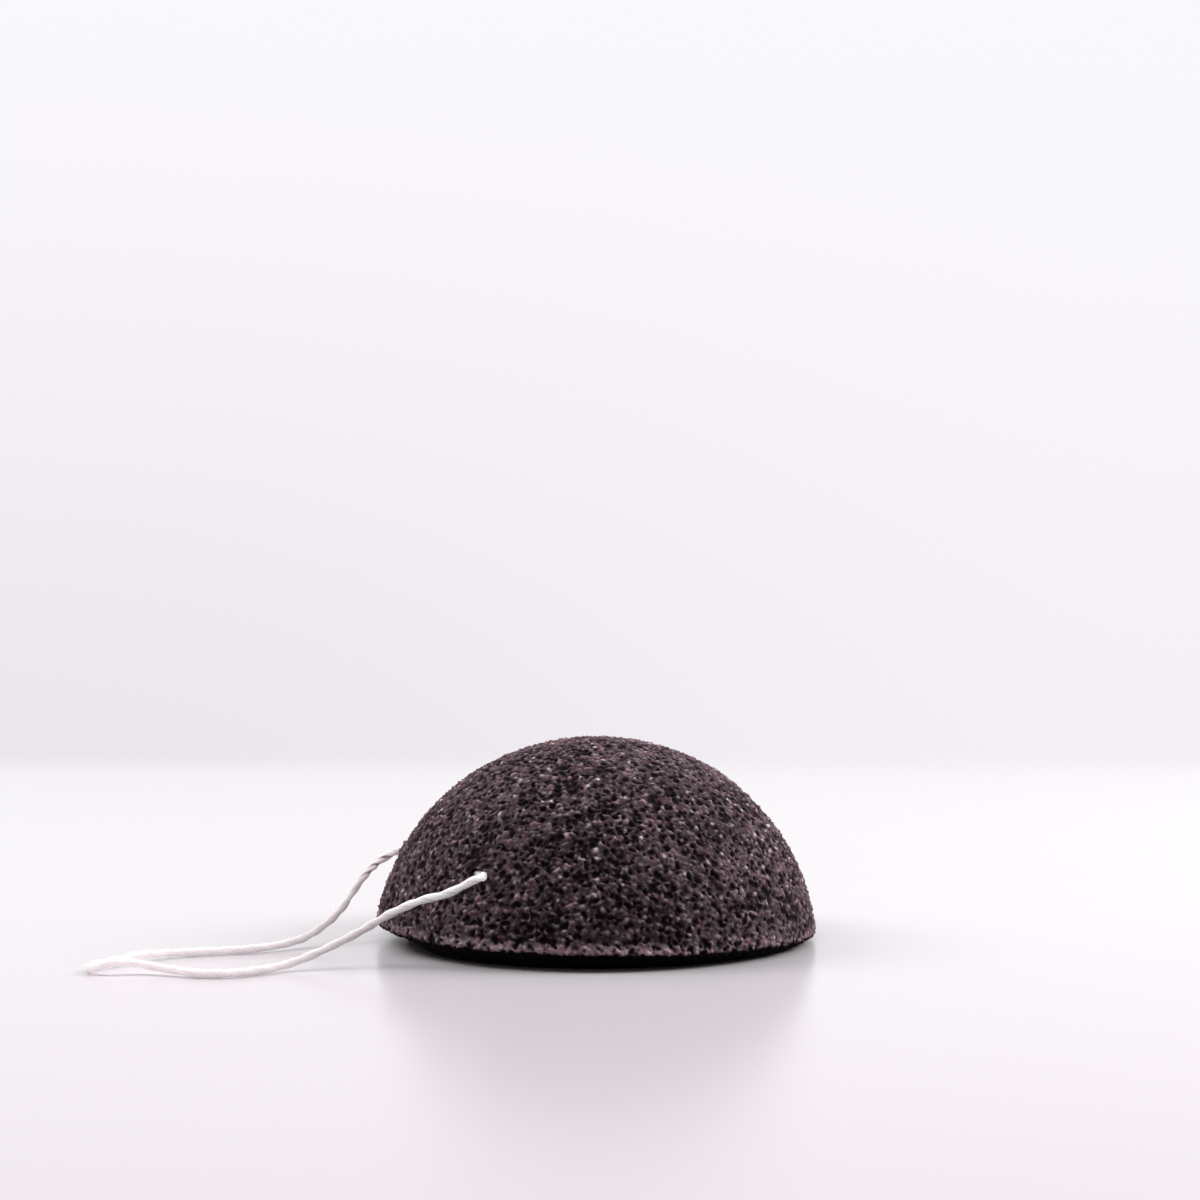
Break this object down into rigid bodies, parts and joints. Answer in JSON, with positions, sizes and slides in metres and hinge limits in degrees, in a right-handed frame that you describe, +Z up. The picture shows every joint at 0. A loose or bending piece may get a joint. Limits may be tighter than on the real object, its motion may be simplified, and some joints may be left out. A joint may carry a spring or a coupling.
{
  "type": "konjac sponge",
  "caption": "Half-ball konjac sponge with a flared rim lifted off its flat base, and a thin cotton hanging loop, stitched through its flank, that swings up over the dome.",
  "frame": {"origin": "middle of the flat patch on the underside, on the surface that the sponge stands on", "axes": "+Z up through the crown of the dome; the stitch runs along Y, and the loop lies out towards -X"},
  "size_m": [0.1094, 0.065, 0.0297],
  "materials": {
    "charcoal_konjac": "matte",
    "cotton_string": "matte"
  },
  "bodies": {
    "sponge": {"sponge_body": "charcoal_konjac"},
    "string": {"string_loop": "cotton_string", "string_front_run": "cotton_string", "string_rear_run": "cotton_string", "string_knot": "cotton_string"}
  },
  "joints": [
    {"name": "loop_swing", "type": "hinge", "parent": "sponge", "child": "string", "pos_m": [-0.02447, 0, 0.0123], "axis": [0, 1, 0], "range_deg": [0, 130]}
  ]
}
